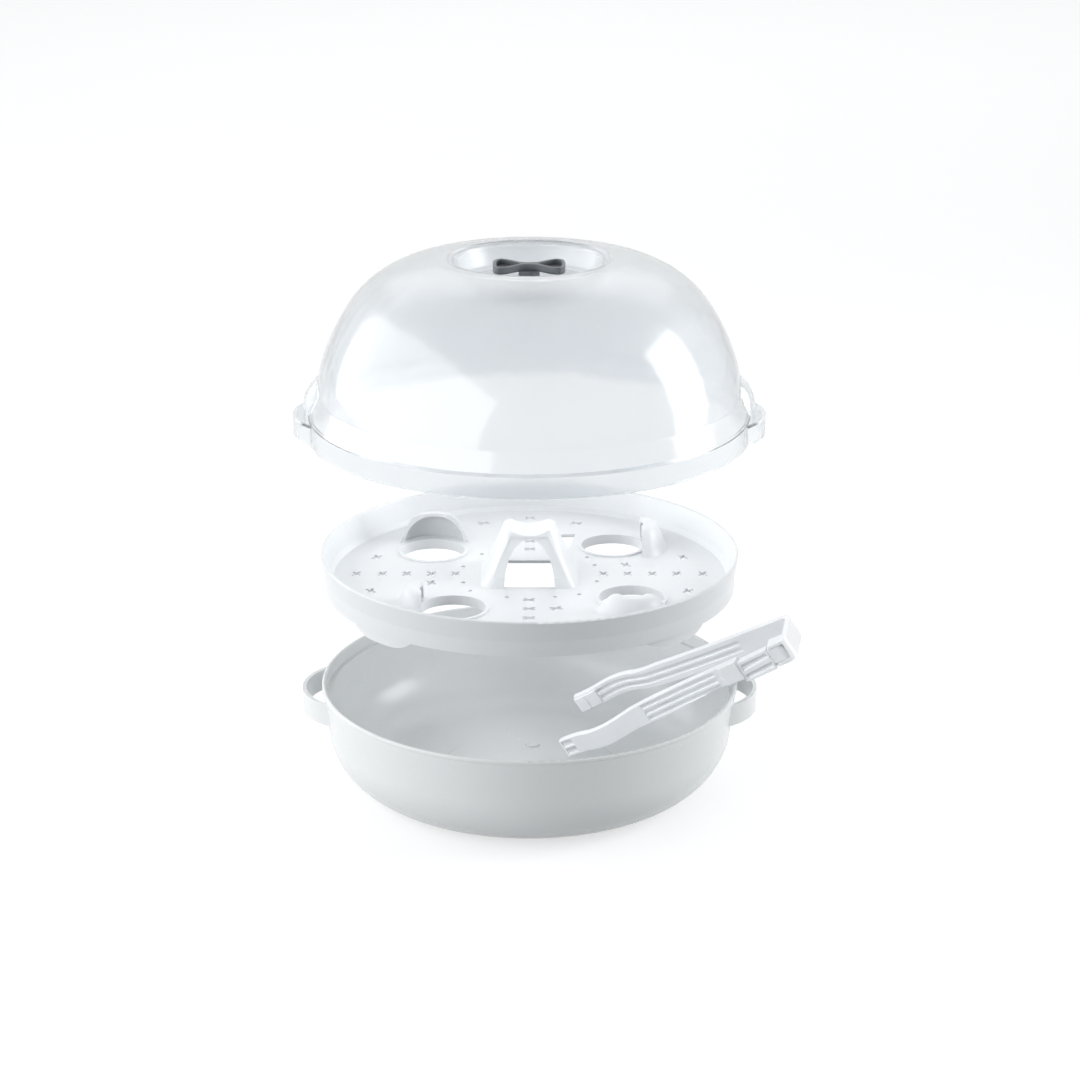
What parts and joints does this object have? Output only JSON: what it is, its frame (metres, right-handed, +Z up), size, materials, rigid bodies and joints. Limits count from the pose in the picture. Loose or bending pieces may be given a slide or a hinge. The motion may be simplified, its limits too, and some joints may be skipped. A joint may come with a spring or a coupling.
{
  "type": "microwave bottle sterilizer",
  "caption": "Round white bowl with finger loops, lifted perforated tray with bottle seats and a middle tower, clear domed lid with turning knob, and white tongs over the rim.",
  "frame": {"origin": "centre of the bowl's flat foot", "axes": "+Z up along the round parts' common axis, +X to the right as pictured, through the ear the tongs lean over, +Y away from the camera"},
  "size_m": [0.3096, 0.2646, 0.3302],
  "materials": {
    "white_plastic": "gloss",
    "clear_plastic": "gloss, see-through, slightly milky",
    "grey_plastic": "satin"
  },
  "bodies": {
    "bowl": {"base_bowl": "white_plastic"},
    "tray": {"tray": "white_plastic"},
    "lid": {"lid_dome": "clear_plastic"},
    "knob": {"lid_knob": "grey_plastic", "knob_clip": "grey_plastic"},
    "tongs": {"tongs_far_arm": "white_plastic", "tongs_pin": "white_plastic"},
    "tongs_arm": {"tongs_near_arm": "white_plastic"}
  },
  "joints": [
    {"name": "tray_lift", "type": "slide", "parent": "bowl", "child": "tray", "axis": [0, 0, 1], "range_m": [-0.071, 0]},
    {"name": "lid_lift", "type": "slide", "parent": "tray", "child": "lid", "axis": [0, 0, 1], "range_m": [-0.093, 0]},
    {"name": "knob_turn", "type": "hinge", "parent": "lid", "child": "knob", "pos_m": [0, 0, 0.316], "axis": [0, 0, 1], "continuous": true},
    {"name": "tongs_draw", "type": "slide", "parent": "bowl", "child": "tongs", "axis": [0.7909, -0.2879, 0.54], "range_m": [0, 0.26]},
    {"name": "tongs_squeeze", "type": "hinge", "parent": "tongs", "child": "tongs_arm", "pos_m": [0.15346, -0.01776, 0.08933], "axis": [0.53, 0.0808, -0.8441], "range_deg": [0, 15], "stiffness_Nm_per_rad": 0.5}
  ],
  "couplings": [
    {"joint": "tongs_draw", "follows": "tray_lift", "ratio": -3.66}
  ]
}
